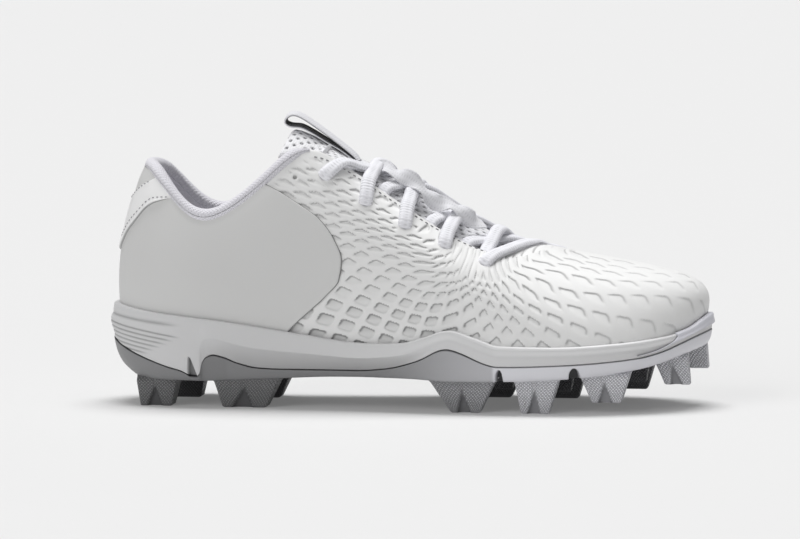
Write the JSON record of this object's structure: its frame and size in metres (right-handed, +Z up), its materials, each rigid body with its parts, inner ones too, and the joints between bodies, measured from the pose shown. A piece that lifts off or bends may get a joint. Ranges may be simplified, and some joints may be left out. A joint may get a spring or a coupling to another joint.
{
  "type": "softball cleat",
  "caption": "Low lace-up softball cleat for the right foot: hollow moulded upper with overlays, padded collar, foam midsole and a stiff outsole with moulded studs.",
  "frame": {"origin": "on the floor, below the middle of the shoe's bounding box", "axes": "+X from heel to toe, +Z up from the floor, the outer side of the right foot at -Y"},
  "size_m": [0.2762, 0.0976, 0.1334],
  "materials": {
    "outsole": "satin moulded plastic, knurled on the studs",
    "midsole": "matte moulded foam",
    "toe_bumper": "satin",
    "insole": "matte knit",
    "upper": "satin synthetic with a moulded lattice",
    "quarter_panel": "matte smooth synthetic",
    "heel_band": "soft gloss film",
    "collar_knit": "padded knit",
    "tongue_mesh": "perforated mesh",
    "webbing": "woven webbing",
    "lace": "woven"
  },
  "bodies": {
    "root": {"outsole": "outsole", "midsole": "midsole", "toe_bumper": "toe_bumper", "insole": "insole", "upper": "upper", "quarter_panel": "quarter_panel", "heel_band": "heel_band", "collar_cuff": "collar_knit", "tongue": "tongue_mesh", "pull_loop": "webbing", "lace_bar_1": "lace", "lace_cross_2": "lace", "lace_cross_3": "lace", "lace_cross_4": "lace", "lace_cross_5": "lace"}
  },
  "joints": []
}
